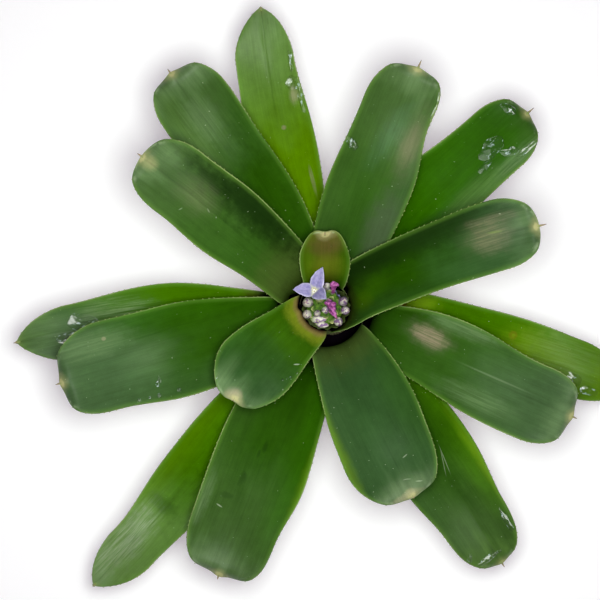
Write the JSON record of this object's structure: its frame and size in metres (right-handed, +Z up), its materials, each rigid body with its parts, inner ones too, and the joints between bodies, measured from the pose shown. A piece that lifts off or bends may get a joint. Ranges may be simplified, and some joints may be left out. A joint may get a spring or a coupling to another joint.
{
  "type": "neoregelia bromeliad",
  "caption": "Flat rosette of broad strap leaves whose sheaths nest round a central cup, with a sunken head of buds and a small lilac flower; cut clean below the leaves.",
  "frame": {"origin": "middle of the flat cut end of the stem that the plant stands on", "axes": "+Z up along the stem through the middle of the cup, +X towards the right and +Y towards the top of the plant as it is seen from above"},
  "size_m": [0.3479, 0.3318, 0.1256],
  "materials": {
    "stem": "rough brown stem with pale old leaf scars and a paler cut end",
    "leaf_inner": "satin yellow-green leaf, cream and brown at the tip",
    "leaf_upper": "satin deep green leaf with fine lengthwise lines and a thin grey bloom",
    "leaf_lower": "glossy bright green leaf with fine lengthwise lines",
    "buds": "waxy cream buds over a green core",
    "petals": "thin soft lilac petals, paler at the throat",
    "spent_petals": "shrivelled magenta petals"
  },
  "bodies": {
    "root": {"stem": "stem", "leaf_01": "leaf_inner", "leaf_02": "leaf_inner", "leaf_03": "leaf_upper", "leaf_04": "leaf_upper", "leaf_05": "leaf_upper", "leaf_06": "leaf_upper", "leaf_07": "leaf_upper", "leaf_08": "leaf_upper", "leaf_09": "leaf_upper", "leaf_10": "leaf_upper", "leaf_11": "leaf_lower", "leaf_12": "leaf_lower", "leaf_13": "leaf_lower", "leaf_14": "leaf_lower", "leaf_15": "leaf_lower", "leaf_16": "leaf_lower", "flower_head": "buds", "open_flower": "petals", "spent_flower_1": "spent_petals", "spent_flower_2": "spent_petals"}
  },
  "joints": []
}
